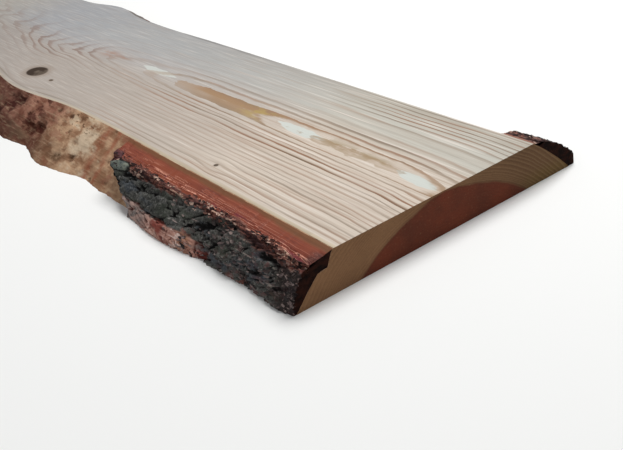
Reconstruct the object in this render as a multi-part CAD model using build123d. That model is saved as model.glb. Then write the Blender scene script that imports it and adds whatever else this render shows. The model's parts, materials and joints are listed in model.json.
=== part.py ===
# Waney-edge board: one plank sawn through and through from a round log, 50 mm thick, with the log's own
# surface left on both long edges. Bark still holds on part of the near edge and on a stub of the far edge.
from build123d import *
from math import cos, pi
import os

# All sizes are in millimetres. X runs along the board with the shown end at +X, Y runs across it with the
# near edge at -Y, and Z runs up. The origin lies on the underside at mid-length, straight above the pith.

# The sawn board
LENGTH = 2000.0
THICKNESS = 50.0

# The log it came from: half widths of the bare wood at the two saw cuts, measured from the pith line,
# and how far the log's round bulges between them
NEAR_TOP = 140.0
NEAR_BOTTOM = 195.0
FAR_TOP = 140.0
FAR_BOTTOM = 195.0
LOG_BULGE = 2.8
STATION_PITCH = 50.0

# Swellings and hollows of the log: distance of the middle from the shown end, half length, and how much
# the half width grows at the top cut and at the bottom cut
NEAR_SWELLS = (
    (480.0, 480.0, 0.0, 10.0),
    (615.0, 110.0, 1.0, 24.0),
    (850.0, 250.0, 23.0, 34.0),
    (1450.0, 280.0, 8.0, 9.0),
    (1800.0, 220.0, -5.0, -6.0),
)
FAR_SWELLS = (
    (850.0, 160.0, -3.0, -2.0),
    (1105.0, 130.0, 17.0, 14.0),
    (1600.0, 300.0, 6.0, 7.0),
)

# The bark pocket that bites into the near corner at the shown end and runs out along the edge
POCKET_LENGTH = 240.0
POCKET_LEDGE_HEIGHT = 31.0
POCKET_LEDGE_RISE = 4.0
POCKET_DEPTH = 14.0

# Near bark, measured across the board: its thickness at the two cuts and its bulge between them, its changes
# in thickness along the edge (as for the log), how much lower its sawn top has dried at the outer edge, and
# where it is torn off, at the top and at the bottom, with the height of the tear's teeth
NEAR_BARK_TOP = 28.0
NEAR_BARK_BOTTOM = 8.0
NEAR_BARK_BULGE = 7.0
NEAR_BARK_SWELLS = (
    (0.0, 40.0, 0.0, -5.0),
    (260.0, 100.0, 2.0, 8.0),
)
NEAR_BARK_SINK = 2.0
NEAR_BARK_LENGTH_TOP = 441.0
NEAR_BARK_LENGTH_BOTTOM = 345.0
NEAR_BARK_RAG = 7.0

# Far bark, a stub at the shown end, thin at the top and broad lower down, that thins a little toward its torn
# end: the same sizes, its thinning as a share, and its lengths
FAR_BARK_TOP = 9.0
FAR_BARK_BOTTOM = 8.0
FAR_BARK_BULGE = 18.0
FAR_BARK_SINK = 3.0
FAR_BARK_THINNING = 0.15
FAR_BARK_LENGTH_TOP = 50.0
FAR_BARK_LENGTH_BOTTOM = 62.0
FAR_BARK_RAG = 3.0

# Steps of a torn end between the underside and the top face
TEAR_STEPS = 8

# How far the raw log runs past each saw cut before it is cut, how wide the cuts are, and a line inside the
# wood that the bark is built out from before the wood is taken from it
OVERRUN = 6.0
CUT_WIDTH = 800.0
INSIDE_WOOD = 70.0


def swell(distance, swells):
    """Growth of the half width at the top and bottom cuts, as raised cosines about each swelling."""
    grown_top = 0.0
    grown_bottom = 0.0
    for middle, half_length, top, bottom in swells:
        away = abs(distance - middle) / half_length
        if away < 1.0:
            share = 0.5 + 0.5 * cos(pi * away)
            grown_top += top * share
            grown_bottom += bottom * share
    return grown_top, grown_bottom


def near_edge(distance):
    """Half widths of the bare wood on the near side."""
    top, bottom = swell(distance, NEAR_SWELLS)
    return NEAR_TOP + top, NEAR_BOTTOM + bottom


def far_edge(distance):
    """Half widths of the bare wood on the far side."""
    top, bottom = swell(distance, FAR_SWELLS)
    return FAR_TOP + top, FAR_BOTTOM + bottom


def wane_point(top, bottom, bulge, height):
    """Half width at a height, on the round between the two cuts and a little past them."""
    rise = height / THICKNESS
    return bottom + (top - bottom) * rise + 4.0 * bulge * rise * (1.0 - rise)


def wane_arc(side, top, bottom, bulge):
    """The log's round in the section plane, from below the underside to above the top face."""
    heights = (-OVERRUN, THICKNESS / 2, THICKNESS + OVERRUN)
    points = [(side * wane_point(top, bottom, bulge, height), height) for height in heights]
    return ThreePointArc(*points)


def stub_curve(side, top, bottom, bulge):
    """The stub's outside in the section plane: as wane_point has it, so fuller low down than a round arc."""
    low, middle, high = -OVERRUN, THICKNESS / 2, THICKNESS + OVERRUN
    low_place = wane_point(top, bottom, bulge, low)
    high_place = wane_point(top, bottom, bulge, high)
    pull = 2.0 * wane_point(top, bottom, bulge, middle) - (low_place + high_place) / 2
    return Bezier((side * low_place, low), (side * pull, middle), (side * high_place, high))


def across(distance):
    """The plane across the board at a distance from the shown end: its x is Y and its y is Z."""
    return Plane(origin=(LENGTH / 2 - distance, 0, 0), x_dir=(0, 1, 0), z_dir=(1, 0, 0))


def section(distance, left, right):
    """A closed face across the board, between two lines or arcs that both run upward."""
    outline = Wire([left, Line(left @ 1, right @ 1), right, Line(right @ 0, left @ 0)])
    return across(distance) * Face(outline)


def stations(start, stop):
    """Distances of evenly spaced sections, about STATION_PITCH apart."""
    count = round((stop - start) / STATION_PITCH)
    return [start + (stop - start) * number / count for number in range(count + 1)]


def saw_slab():
    """What lies between the two saw cuts and the two end cuts."""
    return Box(LENGTH, CUT_WIDTH, THICKNESS, align=(Align.CENTER, Align.CENTER, Align.MIN))


def raw_log():
    """The round log, a little longer and taller than the board that is sawn out of it."""
    sections = []
    for distance in stations(-OVERRUN, LENGTH + OVERRUN):
        near = wane_arc(-1, *near_edge(distance), LOG_BULGE)
        far = wane_arc(1, *far_edge(distance), LOG_BULGE)
        sections.append(section(distance, near, far))
    return loft(sections)


def bark_pocket():
    """The bite in the near corner: a steep inner wall and a ledge, drifting out of the wood as it runs on."""
    wall_top, wall_bottom = near_edge(0)
    ledge_inside = wane_point(wall_top, wall_bottom, LOG_BULGE, POCKET_LEDGE_HEIGHT) - POCKET_DEPTH
    outside = wall_bottom + NEAR_BARK_TOP
    above = THICKNESS + OVERRUN
    outline = (
        (-outside, POCKET_LEDGE_HEIGHT + POCKET_LEDGE_RISE),
        (-ledge_inside, POCKET_LEDGE_HEIGHT),
        (-wall_top, THICKNESS),
        (-wall_top, above),
        (-outside, above),
    )
    faces = []
    for distance, drift in ((-OVERRUN, 0.0), (POCKET_LENGTH, outside - wall_top)):
        shifted = [(place - drift, height) for place, height in outline]
        faces.append(across(distance) * Face(Wire.make_polygon(shifted)))
    return loft(faces, ruled=True)


def untorn(length_top, length_bottom, rag):
    """The stretch from the shown end to a ragged tear, seen from the side and carried across the board. The
    tear stands steep near both cuts and slants between them."""
    tear = []
    for step in range(-1, TEAR_STEPS + 2):
        share = step / TEAR_STEPS
        eased = share * share * (3.0 - 2.0 * share)
        ragged = rag if step % 2 else -rag
        distance = length_bottom + (length_top - length_bottom) * eased + ragged
        tear.append((LENGTH / 2 - distance, THICKNESS * share))
    beyond = LENGTH / 2 + OVERRUN
    outline = [*tear, (beyond, tear[-1][1]), (beyond, tear[0][1])]
    side_view = Plane.XZ * Face(Wire.make_polygon(outline))
    return extrude(side_view, amount=CUT_WIDTH / 2, both=True)


def dried_away(side, wood_top, bark_top, sink):
    """What is missing over the bark below the saw cut: nothing at the wood, and sink at its outer edge."""
    outline = (
        (side * wood_top, THICKNESS),
        (side * (wood_top + bark_top), THICKNESS - sink),
        (side * (wood_top + 2 * bark_top), THICKNESS - 2 * sink),
        (side * (wood_top + 2 * bark_top), THICKNESS + OVERRUN),
        (side * wood_top, THICKNESS + OVERRUN),
    )
    return extrude(across(-OVERRUN) * Face(Wire.make_polygon(outline)), amount=-LENGTH)


def near_bark(wood):
    """Bark on the near wane: sawn with the board, dried a little lower on top, and torn off at its far end."""
    inner = Line((-INSIDE_WOOD, -OVERRUN), (-INSIDE_WOOD, THICKNESS + OVERRUN))
    sections = []
    for distance in stations(-OVERRUN, NEAR_BARK_LENGTH_TOP + STATION_PITCH):
        wood_top, wood_bottom = near_edge(distance)
        grown_top, grown_bottom = swell(distance, NEAR_BARK_SWELLS)
        top = wood_top + NEAR_BARK_TOP + grown_top
        bottom = wood_bottom + NEAR_BARK_BOTTOM + grown_bottom
        sections.append(section(distance, wane_arc(-1, top, bottom, NEAR_BARK_BULGE), inner))
    grown = loft(sections) & saw_slab() & untorn(NEAR_BARK_LENGTH_TOP, NEAR_BARK_LENGTH_BOTTOM, NEAR_BARK_RAG)
    return grown - dried_away(-1, NEAR_TOP, NEAR_BARK_TOP, NEAR_BARK_SINK) - wood


def far_bark(wood):
    """The stub of bark on the far wane at the shown end."""
    inner = Line((INSIDE_WOOD, -OVERRUN), (INSIDE_WOOD, THICKNESS + OVERRUN))
    sections = []
    for distance, share in ((-OVERRUN, 1.0), (FAR_BARK_LENGTH_BOTTOM + OVERRUN, 1.0 - FAR_BARK_THINNING)):
        wood_top, wood_bottom = far_edge(distance)
        top = wood_top + FAR_BARK_TOP * share
        bottom = wood_bottom + FAR_BARK_BOTTOM * share
        sections.append(section(distance, inner, stub_curve(1, top, bottom, FAR_BARK_BULGE * share)))
    grown = loft(sections, ruled=True) & saw_slab()
    grown &= untorn(FAR_BARK_LENGTH_TOP, FAR_BARK_LENGTH_BOTTOM, FAR_BARK_RAG)
    return grown - dried_away(1, FAR_TOP, FAR_BARK_TOP, FAR_BARK_SINK) - wood


def board():
    """The sawn wood, one solid."""
    return (raw_log() & saw_slab()) - bark_pocket()


os.makedirs("parts", exist_ok=True)
wood = board()
pieces = {
    "board": wood,
    "near_edge_bark": near_bark(wood),
    "far_edge_bark": far_bark(wood),
}
for node, piece in pieces.items():
    export_step(piece, f"parts/{node}.step")
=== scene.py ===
import json
import math

import bpy
import numpy as np
from mathutils import Matrix, Vector, noise
from mathutils.bvhtree import BVHTree


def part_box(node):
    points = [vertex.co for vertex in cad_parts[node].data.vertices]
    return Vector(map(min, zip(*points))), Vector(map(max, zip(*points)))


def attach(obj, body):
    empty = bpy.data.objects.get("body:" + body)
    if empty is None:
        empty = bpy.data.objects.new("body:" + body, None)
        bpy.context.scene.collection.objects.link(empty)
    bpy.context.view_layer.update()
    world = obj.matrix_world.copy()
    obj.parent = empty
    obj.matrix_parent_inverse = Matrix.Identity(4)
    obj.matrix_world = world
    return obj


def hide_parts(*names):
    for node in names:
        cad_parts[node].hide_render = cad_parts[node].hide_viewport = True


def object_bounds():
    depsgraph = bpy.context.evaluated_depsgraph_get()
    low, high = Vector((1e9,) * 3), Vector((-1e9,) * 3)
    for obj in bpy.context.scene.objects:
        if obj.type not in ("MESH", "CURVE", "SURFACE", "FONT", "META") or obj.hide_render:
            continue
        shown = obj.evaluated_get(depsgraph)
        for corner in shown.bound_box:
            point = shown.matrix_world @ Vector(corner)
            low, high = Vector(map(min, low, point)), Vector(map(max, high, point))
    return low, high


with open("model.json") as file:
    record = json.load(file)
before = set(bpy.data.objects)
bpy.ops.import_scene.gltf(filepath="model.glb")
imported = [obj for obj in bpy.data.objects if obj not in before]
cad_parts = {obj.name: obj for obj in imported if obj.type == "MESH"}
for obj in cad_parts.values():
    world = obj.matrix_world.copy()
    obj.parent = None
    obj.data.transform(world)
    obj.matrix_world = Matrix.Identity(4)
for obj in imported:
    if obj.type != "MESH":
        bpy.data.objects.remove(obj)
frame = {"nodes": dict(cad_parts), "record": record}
cad_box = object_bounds()


# Camera
# The photographer stands off the near corner of the square-cut end and looks along the board and down on it,
# with the picture tipped a little to one side.
MM = 0.001
END_X = cad_box[1].x
PICTURE_WIDTH_PX = 623
FOCAL_PX = 947.0
SENSOR_MM = 36.0
CAMERA_FROM_END = Vector((0.6771, -0.5622, 0.5104))
VIEW_AZIMUTH = math.radians(59.28)
VIEW_ELEVATION = math.radians(28.38)
VIEW_ROLL = math.radians(-10.79)

back = Vector(
    (
        math.sin(VIEW_AZIMUTH) * math.cos(VIEW_ELEVATION),
        -math.cos(VIEW_AZIMUTH) * math.cos(VIEW_ELEVATION),
        math.sin(VIEW_ELEVATION),
    )
)
level_right = Vector((math.cos(VIEW_AZIMUTH), math.sin(VIEW_AZIMUTH), 0.0))
level_up = back.cross(level_right)
right = level_right * math.cos(VIEW_ROLL) + level_up * math.sin(VIEW_ROLL)
up = level_up * math.cos(VIEW_ROLL) - level_right * math.sin(VIEW_ROLL)

lens = bpy.data.cameras.new("camera")
lens.sensor_width = SENSOR_MM
lens.lens = FOCAL_PX * SENSOR_MM / PICTURE_WIDTH_PX
camera = bpy.data.objects.new("camera", lens)
turn = Matrix((right, up, back)).transposed().to_4x4()
camera.matrix_world = Matrix.Translation(Vector((END_X, 0, 0)) + CAMERA_FROM_END) @ turn
bpy.context.collection.objects.link(camera)
bpy.context.scene.camera = camera


# Board
# One plank of softwood, sawn through and through from a log: two flat faces and two square ends off the saw,
# and on the long edges the log's own surface, bare where the bark has come away, with pits and lumps.
LENGTH = frame["record"]["size"]["bbox_m"][0]
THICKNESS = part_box("board")[1].z
PITH_DEPTH = 0.145
FINE_STRETCH = 1.05
FINE_PITCH = 0.0026
COARSE_PITCH = 0.0055
BOARD_ROWS = 32
FLAT_COLUMNS = 40
RAY_START = 1.0
INSET = 0.0001


def add_object(name, data):
    """An object in the scene."""
    made = bpy.data.objects.new(name, data)
    bpy.context.collection.objects.link(made)
    return made


def cad_tree(node):
    """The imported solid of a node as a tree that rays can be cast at."""
    mesh = frame["nodes"][node].data
    points = [vertex.co.copy() for vertex in mesh.vertices]
    faces = [tuple(polygon.vertices) for polygon in mesh.polygons]
    return BVHTree.FromPolygons(points, faces)


def surface_at(tree, side, x, z):
    """How far out the surface lies on one side, at a place kept a little inside the ends."""
    x = min(max(x, -LENGTH / 2 + INSET), LENGTH / 2 - INSET)
    return side * tree.ray_cast(Vector((x, side * RAY_START, z)), Vector((0, -side, 0)))[0].y


def edge_profile(tree, side):
    """How far out the board lies on one side, for each place along it and each height."""
    found = np.zeros((len(board_places), len(board_heights)))
    for i, x in enumerate(board_places):
        for k, z in enumerate(board_heights):
            found[i, k] = surface_at(tree, side, x, min(max(z, INSET), THICKNESS - INSET))
    return found


def lattice_shell(nx, ny, nz, islands):
    """Surface of a block of nx by ny by nz cells: lattice places, quads facing outward, and bake-map corners.
    islands gives, for each of the six sides, the box of the bake map that it fills."""
    ids = np.full((nx + 1, ny + 1, nz + 1), -1)
    i, j, k = np.indices(ids.shape)
    shell = (i == 0) | (i == nx) | (j == 0) | (j == ny) | (k == 0) | (k == nz)
    ids[shell] = np.arange(shell.sum())
    sides = {
        "top": (ids[:, :, nz], False),
        "underside": (ids[:, :, 0], True),
        "near": (ids[:, 0, :], False),
        "far": (ids[:, ny, :], True),
        "other_end": (ids[0, :, :], True),
        "shown_end": (ids[nx, :, :], False),
    }
    quads = []
    corners = []
    sizes = {}
    for name, (grid, turned) in sides.items():
        a, b, c, d = grid[:-1, :-1], grid[1:, :-1], grid[1:, 1:], grid[:-1, 1:]
        spread = [np.linspace(0, 1, count) for count in grid.shape]
        u, v = np.meshgrid(*spread, indexing="ij")
        low_u, low_v, high_u, high_v = islands[name]
        uv = np.stack([low_u + (high_u - low_u) * u, low_v + (high_v - low_v) * v], axis=-1)
        ring = [uv[:-1, :-1], uv[1:, :-1], uv[1:, 1:], uv[:-1, 1:]]
        order = [0, 3, 2, 1] if turned else [0, 1, 2, 3]
        faces = [(a, b, c, d)[n].ravel() for n in order]
        quads.append(np.stack(faces, axis=-1))
        corners.append(np.stack([ring[n].reshape(-1, 2) for n in order], axis=1))
        sizes[name] = a.size
    return (i[shell], j[shell], k[shell]), np.concatenate(quads), np.concatenate(corners), sizes


def shell_object(name, points, quads, corners, sizes, side_materials):
    """A smooth-shaded mesh object with one material for each side and its own bake map."""
    mesh = bpy.data.meshes.new(name)
    mesh.from_pydata(points.tolist(), [], quads.tolist())
    bake_map = mesh.uv_layers.new(name="OFBake")
    bake_map.data.foreach_set("uv", corners.reshape(-1).astype(np.float32))
    materials = list(dict.fromkeys(side_materials.values()))
    for material in materials:
        mesh.materials.append(material)
    slots = [materials.index(side_materials[side]) for side, count in sizes.items() for _ in range(count)]
    mesh.polygons.foreach_set("material_index", slots)
    mesh.polygons.foreach_set("use_smooth", [True] * len(quads))
    return add_object(name, mesh)


def vertex_value(made, name, values):
    """A number stored on each vertex, for the material to read."""
    layer = made.data.attributes.new(name, "FLOAT", "POINT")
    layer.data.foreach_set("value", np.asarray(values, dtype=np.float32))


def fractal(x, y, z, octaves):
    """Rough noise between about -1 and 1 at each of many places."""
    flat = zip(np.ravel(x), np.ravel(y), np.ravel(z))
    values = [noise.fractal(Vector(place), 1.0, 2.0, octaves) for place in flat]
    return np.array(values).reshape(np.shape(x))


class Value:
    """A node's output, to reckon with: +, -, *, / and abs each add a math node to its tree."""

    def __init__(self, writer, socket):
        self.writer = writer
        self.socket = socket

    def __add__(self, other):
        return self.writer.math("ADD", self, other)

    def __sub__(self, other):
        return self.writer.math("SUBTRACT", self, other)

    def __rsub__(self, other):
        return self.writer.math("SUBTRACT", other, self)

    def __mul__(self, other):
        return self.writer.math("MULTIPLY", self, other)

    def __truediv__(self, other):
        return self.writer.math("DIVIDE", self, other)

    def __abs__(self):
        return self.writer.math("ABSOLUTE", self)


class NodeWriter:
    """Writes a node tree in short calls. Inputs are fed by name or number, with a number, a paint chart's
    colour (red, green, blue) or another node's output."""

    def __init__(self, tree):
        self.tree = tree

    def add(self, kind, inputs=None, **settings):
        node = self.tree.nodes.new(kind)
        for name, value in settings.items():
            setattr(node, name, value)
        for name, value in (inputs or {}).items():
            self.feed(node.inputs[name], value)
        return node

    def feed(self, socket, value):
        if isinstance(value, Value):
            self.tree.links.new(value.socket, socket)
        elif socket.type == "RGBA":
            socket.default_value = colour(*value)
        else:
            socket.default_value = value

    def value(self, kind, inputs=None, output=0, **settings):
        """One output of a new node."""
        return Value(self, self.add(kind, inputs, **settings).outputs[output])

    def named(self, kind, inputs=None, **settings):
        """All outputs of a new node by name."""
        return {socket.name: Value(self, socket) for socket in self.add(kind, inputs, **settings).outputs}

    def math(self, operation, *values):
        return self.value("ShaderNodeMath", dict(enumerate(values)), operation=operation)

    def band(self, value, low, high, start=0.0, end=1.0):
        """A smooth change from start, where value is low, to end, where it is high."""
        inputs = dict(enumerate((value, low, high, start, end)))
        return self.value("ShaderNodeMapRange", inputs, interpolation_type="SMOOTHSTEP")

    def bell(self, value, width):
        """1 where value is 0, fading to 0 on both sides."""
        ratio = value / width
        return self.math("EXPONENT", ratio * ratio * -1.0)

    def curve(self, value, points):
        """A smooth curve through points (place, height)."""
        places, heights = zip(*points)
        low, high = min(places), max(places)
        bottom, top = min(heights), max(heights)
        share = self.value("ShaderNodeClamp", {"Value": (value - low) / (high - low)})
        node = self.add("ShaderNodeFloatCurve", {"Value": share})
        line = node.mapping.curves[0]
        while len(line.points) < len(points):
            line.points.new(0.5, 0.5)
        for spot, (place, height) in zip(line.points, points):
            spot.location = ((place - low) / (high - low), (height - bottom) / (top - bottom))
        node.mapping.update()
        return Value(self, node.outputs[0]) * (top - bottom) + bottom

    def stretched(self, place, scales):
        return self.value("ShaderNodeVectorMath", {0: place, 1: scales}, operation="MULTIPLY")

    def noise(self, place, scale, detail=2.0, roughness=0.5):
        inputs = {"Vector": place, "Scale": scale, "Detail": detail, "Roughness": roughness}
        return self.value("ShaderNodeTexNoise", inputs, "Fac")

    def grain(self, place, scales, detail=2.0, roughness=0.5):
        """Noise with a scale of its own along each axis."""
        return self.noise(self.stretched(place, scales), 1.0, detail, roughness)

    def mix(self, share, under, over):
        """A colour, with another laid over it as far as share says."""
        return self.value("ShaderNodeMix", {"Factor": share, 6: under, 7: over}, 2, data_type="RGBA")

    def millimetres(self, place):
        """A place in metres as its three parts in millimetres."""
        parts = self.named("ShaderNodeSeparateXYZ", {0: self.stretched(place, (1 / MM, 1 / MM, 1 / MM))})
        return parts["X"], parts["Y"], parts["Z"]

    def stored(self, name):
        return self.value("ShaderNodeAttribute", output="Fac", attribute_name=name)

    def object_place(self):
        return self.value("ShaderNodeTexCoord", output="Object")


def colour(red, green, blue):
    """A paint chart's colour, each part 0 to 255, turned into linear light."""
    parts = []
    for part in (red, green, blue):
        share = part / 255
        parts.append(share / 12.92 if share <= 0.04045 else ((share + 0.055) / 1.055) ** 2.4)
    return (*parts, 1.0)


def new_material(name):
    """A material with an empty tree, and the writer for it."""
    material = bpy.data.materials.new(name)
    material.use_nodes = True
    material.node_tree.nodes.clear()
    return material, NodeWriter(material.node_tree)


def finish_material(w, base, roughness, height, bump_mm, strength, specular):
    """The surface shader, with its relief."""
    bump = w.value("ShaderNodeBump", {"Strength": strength, "Distance": bump_mm * MM, "Height": height})
    finish = {"Specular IOR Level": specular, "Base Color": base, "Roughness": roughness, "Normal": bump}
    w.add("ShaderNodeOutputMaterial", {"Surface": w.value("ShaderNodeBsdfPrincipled", finish)})


# Growth rings of the log, in millimetres. Rings are counted outward from the one that the top saw cut just
# grazes: each is placed by its distance from the crown of the figure on the top face, on either side of it.
NEAR_RINGS = (16, 26, 33, 39, 48, 55, 62, 70, 78, 85, 91, 98, 106, 116, 125, 133)
FAR_RINGS = (14, 28, 40, 53, 66, 80, 93, 102, 109, 117, 126)


def ring_places(before, rings, after):
    """Points (place, count) for rings 0, 1, 2 and so on, with the points before and after them."""
    return (*before, *((place, number) for number, place in enumerate(rings)), *after)


NEAR_RING_PLACES = ring_places(((0, -0.62), (10, -0.46), (13, -0.36)), NEAR_RINGS, ((148, 16.5), (190, 21)))
FAR_RING_PLACES = ring_places(((0, -0.62), (8, -0.32)), FAR_RINGS, ((140, 11.5), (190, 17)))
# By the distance from the shown end: where the crown lies across the board, and by how many rings the cut
# lies further out in the log there, close to the crown and over a broad strip
CROWN_LINE = (
    (0, 1), (20, 3), (60, 7), (100, 8), (250, 9), (400, 10), (560, 9), (700, 7), (840, 5), (950, -11),
    (1010, -14), (1110, -6), (1220, 4), (1500, 6), (2000, 0),
)
CROWN_RISE = (
    (0, 0.32), (10, 0.14), (28, -0.08), (60, -0.3), (85, -0.39), (200, -0.39), (226, -0.34), (250, -0.14),
    (300, -0.06), (345, 0.1), (385, 0.2), (465, 0.24), (560, 0.3), (600, 0.62), (700, 0.8), (2000, 0.8),
)
BROAD_RISE = (
    (0, 0), (580, 0), (680, 0.5), (800, 1.4), (880, 2.6), (1000, 5.0), (1120, 7.4), (1300, 9.4),
    (1600, 11.5), (2000, 13.0),
)
# How wide the rings are further in than the one that the top saw cut grazes
INNER_RING_WIDTH = 3.1
# Where the edge swells on the near and the far side: distance from the shown end, half length and growth
NEAR_SWELL = (850, 145, 23.0)
FAR_SWELL = (1105, 75, 17.0)
# Half the width of the top face, over which the rings bend out with the swells
TOP_HALF_WIDTH = 147.0
# Each knot: distance from the shown end, place across the top face, half length, half width, and the reach
# of the grain that flows round it
KNOTS = ((882, -109, 25, 17, 75, 40), (273, -113, 3.2, 2.6, 26, 13), (810, -113, 5, 3, 22, 12))
# How fully the grain flows round a knot, a distance past all knots in knot widths, and by how much for each
# millimetre across the crown line's bends fade
GRAIN_FLOW = 0.78
FAR_FROM_KNOTS = 10.0
CROWN_LINE_FADE = 0.8 / 150


def growth_rings():
    """Shader group: where a place lies in the log's growth rings and knots."""
    group = bpy.data.node_groups.new("growth rings", "ShaderNodeTree")
    group.interface.new_socket("Place", in_out="INPUT", socket_type="NodeSocketVector")
    for name in ("Ring", "Tone", "Number", "Crown", "Knot", "Along", "Across", "Rim"):
        group.interface.new_socket(name, in_out="OUTPUT", socket_type="NodeSocketFloat")
    w = NodeWriter(group)
    place = w.value("NodeGroupInput")
    x, y, z = w.millimetres(place)
    along = END_X / MM - x
    slow = w.grain(place, (3, 13, 13), 1)
    middling = w.grain(place, (9, 26, 26), 1)
    quick = w.grain(place, (24, 70, 70))
    across = y + ((slow - 0.5) * 6 + (middling - 0.5) * 4 + (quick - 0.5) * 2.4)
    crown_line = w.curve(along, CROWN_LINE)
    top_depth = (PITH_DEPTH + THICKNESS) / MM
    depth = z + PITH_DEPTH / MM
    rise = depth / top_depth
    from_knot = FAR_FROM_KNOTS
    for knot_along, knot_across, half_length, half_width, reach, side_reach in KNOTS:
        dx = along - knot_along
        centre = crown_line + (knot_across - crown_line) * rise
        dy = across - centre
        across = across - dy * (w.bell(dx, reach) * w.bell(dy, side_reach)) * GRAIN_FLOW
        long_share = dx / (rise * half_length)
        wide_share = (y + (quick - 0.5) * 3 - centre) / half_width
        span = w.math("SQRT", long_share * long_share + wide_share * wide_share)
        from_knot = w.math("MINIMUM", from_knot, span)
    beside = across - crown_line * (1 - abs(across) * CROWN_LINE_FADE)

    # The rings bend out with the edge where it swells
    is_far = w.math("GREATER_THAN", beside, 0)
    swells = [w.bell(along - middle, half) * grown for middle, half, grown in (NEAR_SWELL, FAR_SWELL)]
    swell = is_far * swells[1] + (1 - is_far) * swells[0]
    share = abs(beside) / TOP_HALF_WIDTH
    reach = abs(beside) - swell * share * share * share
    squares = reach * reach + depth * depth
    from_crown = w.math("SQRT", w.math("MAXIMUM", squares - top_depth**2, 0))
    below = w.math("MINIMUM", w.math("SQRT", squares) - top_depth, 0)
    near_count = w.curve(from_crown, NEAR_RING_PLACES)
    outer = near_count + is_far * (w.curve(from_crown, FAR_RING_PLACES) - near_count)
    restless = (w.grain(place, (5, 9, 9)) - 0.5) * w.band(along, 560, 820)
    lively = w.grain(place, (24, 45, 45)) - 0.5
    rises = (
        w.curve(along, CROWN_RISE) * w.bell(from_crown, 24)
        + (w.curve(along, BROAD_RISE) + restless * 3.4) * w.bell(from_crown, 80)
        + lively * 0.4 * w.bell(from_crown, 26)
        + (w.grain(place, (52, 170, 170)) - 0.5) * 0.5 * w.bell(from_crown, 30)
    )
    count = outer + below / INNER_RING_WIDTH + rises
    number = w.math("FLOOR", count)
    results = {
        "Ring": count - number,
        "Tone": w.value("ShaderNodeTexWhiteNoise", {"W": number + is_far * 40.5}, noise_dimensions="1D"),
        "Number": number,
        "Crown": from_crown,
        "Knot": from_knot,
        "Along": along,
        "Across": beside,
        "Rim": abs(y) - swell,
    }
    w.add("NodeGroupOutput", results)
    return group


# How strongly the rings show on the top face, by their place across it from the crown: near the shown end,
# and from the middle of the board on
RING_CONTRAST = (
    (-150, 0.3), (-140, 0.5), (-133, 0.62), (-116, 0.6), (-98, 0.6), (-85, 0.5), (-66, 0.45), (-56, 0.6),
    (-48, 1.0), (-38, 0.95), (-30, 0.75), (-16, 1.0), (0, 1.0), (28, 0.72), (40, 0.66), (53, 0.35),
    (66, 0.2), (80, 0.5), (95, 0.95), (110, 1.0), (128, 0.7), (150, 0.5),
)
RING_CONTRAST_BEYOND = (
    (-150, 0.3), (-134, 0.5), (-122, 0.34), (-100, 0.3), (-70, 0.32), (-48, 0.8), (-16, 0.95), (0, 1.0),
    (28, 0.5), (42, 0.36), (60, 0.14), (150, 0.15),
)
# How far the wood is turned grey, by its distance from the shown end: painted fall-off of the light along the
# board
PAINTED_LIGHT_FALLOFF = (
    (0, 0.0), (220, 0.02), (320, 0.2), (420, 0.4), (520, 0.53), (620, 0.63), (720, 0.72), (920, 0.79),
    (1020, 0.87), (1250, 1.0),
)
# Where the cut just misses a ring at the crown and leaves a pale island: distance from the shown end, place
# across from the crown, half length, half width and strength
PALE_ISLANDS = ((40, 0, 42, 9, 0.85), (264, 1, 54, 11, 0.85), (665, 6, 60, 9, 0.65))

# Warm blushes on the crown: distance from the shown end, place across, half length and half width
BLUSHES = ((838, 4, 30, 11), (790, 8, 16, 6))
# Across the top face with the swells taken off: a thin groove, the cream strip along the near edge and a dark
# line of painted shade along the far arris
GROOVE = 131.5
CREAM_STRIP = (134.5, 138)
ARRIS_SHADE_STRIP = (133, 137)


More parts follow.
